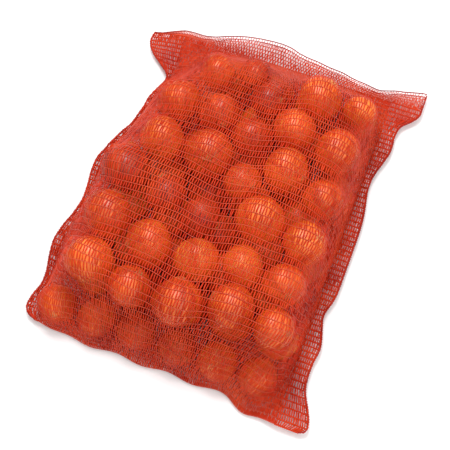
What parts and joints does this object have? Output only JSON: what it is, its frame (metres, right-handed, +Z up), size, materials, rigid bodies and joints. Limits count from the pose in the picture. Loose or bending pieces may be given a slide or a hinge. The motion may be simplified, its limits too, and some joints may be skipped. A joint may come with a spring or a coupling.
{
  "type": "mesh produce bag",
  "caption": "Knitted red-orange net produce bag lying flat, filled with loose onions, with stitched side seams and a flat, open mouth with two lips.",
  "frame": {"origin": "on the resting face, under the middle of the bag", "axes": "+X across the bag, +Y from the folded end to the open mouth, +Z up from the table"},
  "size_m": [0.4012, 0.5202, 0.1311],
  "materials": {
    "net": "knitted polyethylene tape, slightly glossy",
    "seam_thread": "overlocked thread over gathered tape",
    "selvedge_cord": "tight knitted edge cord",
    "onion_skin": "dry papery skin with fine lengthwise streaks"
  },
  "bodies": {
    "bag": {"front_panel": "net", "back_panel": "net", "left_margin": "net", "left_seam": "seam_thread", "right_shoulder": "net", "right_shoulder_seam": "seam_thread", "lower_onions_row_1": "onion_skin", "lower_onions_row_2": "onion_skin", "lower_onions_row_3": "onion_skin", "lower_onions_row_4": "onion_skin", "lower_onions_row_5": "onion_skin", "lower_onions_row_6": "onion_skin", "lower_onions_row_7": "onion_skin", "lower_onions_row_8": "onion_skin", "upper_onion_1": "onion_skin", "upper_onion_2": "onion_skin", "upper_onion_3": "onion_skin", "upper_onion_4": "onion_skin", "upper_onion_5": "onion_skin", "upper_onion_6": "onion_skin", "upper_onion_7": "onion_skin", "upper_onion_8": "onion_skin", "upper_onion_9": "onion_skin", "upper_onion_10": "onion_skin", "upper_onion_11": "onion_skin", "upper_onion_12": "onion_skin", "upper_onion_13": "onion_skin", "upper_onion_14": "onion_skin", "upper_onion_15": "onion_skin", "upper_onion_16": "onion_skin", "upper_onion_17": "onion_skin", "upper_onion_18": "onion_skin", "upper_onion_19": "onion_skin", "upper_onion_20": "onion_skin", "upper_onion_21": "onion_skin", "upper_onion_22": "onion_skin", "upper_onion_23": "onion_skin", "upper_onion_24": "onion_skin", "upper_onion_25": "onion_skin", "upper_onion_26": "onion_skin", "upper_onion_27": "onion_skin", "upper_onion_28": "onion_skin", "upper_onion_29": "onion_skin", "upper_onion_30": "onion_skin"},
    "mouth_band": {"back_lip": "net", "back_selvedge": "selvedge_cord", "left_ear_seam": "seam_thread", "right_ear_seam": "seam_thread"},
    "front_lip": {"front_lip": "net", "front_selvedge": "selvedge_cord"},
    "right_margin": {"right_margin": "net", "right_seam": "seam_thread"}
  },
  "joints": [
    {"name": "mouth_fold", "type": "hinge", "parent": "bag", "child": "mouth_band", "pos_m": [0, 0.2345, 0.0098], "axis": [1, 0, 0], "range_deg": [0, 60]},
    {"name": "mouth_open", "type": "hinge", "parent": "mouth_band", "child": "front_lip", "pos_m": [0, 0.2345, 0.0098], "axis": [1, 0, 0], "range_deg": [0, 45]},
    {"name": "right_margin_fold", "type": "hinge", "parent": "bag", "child": "right_margin", "pos_m": [0.158, 0, 0.0096], "axis": [0, -1, 0], "range_deg": [0, 80]}
  ]
}
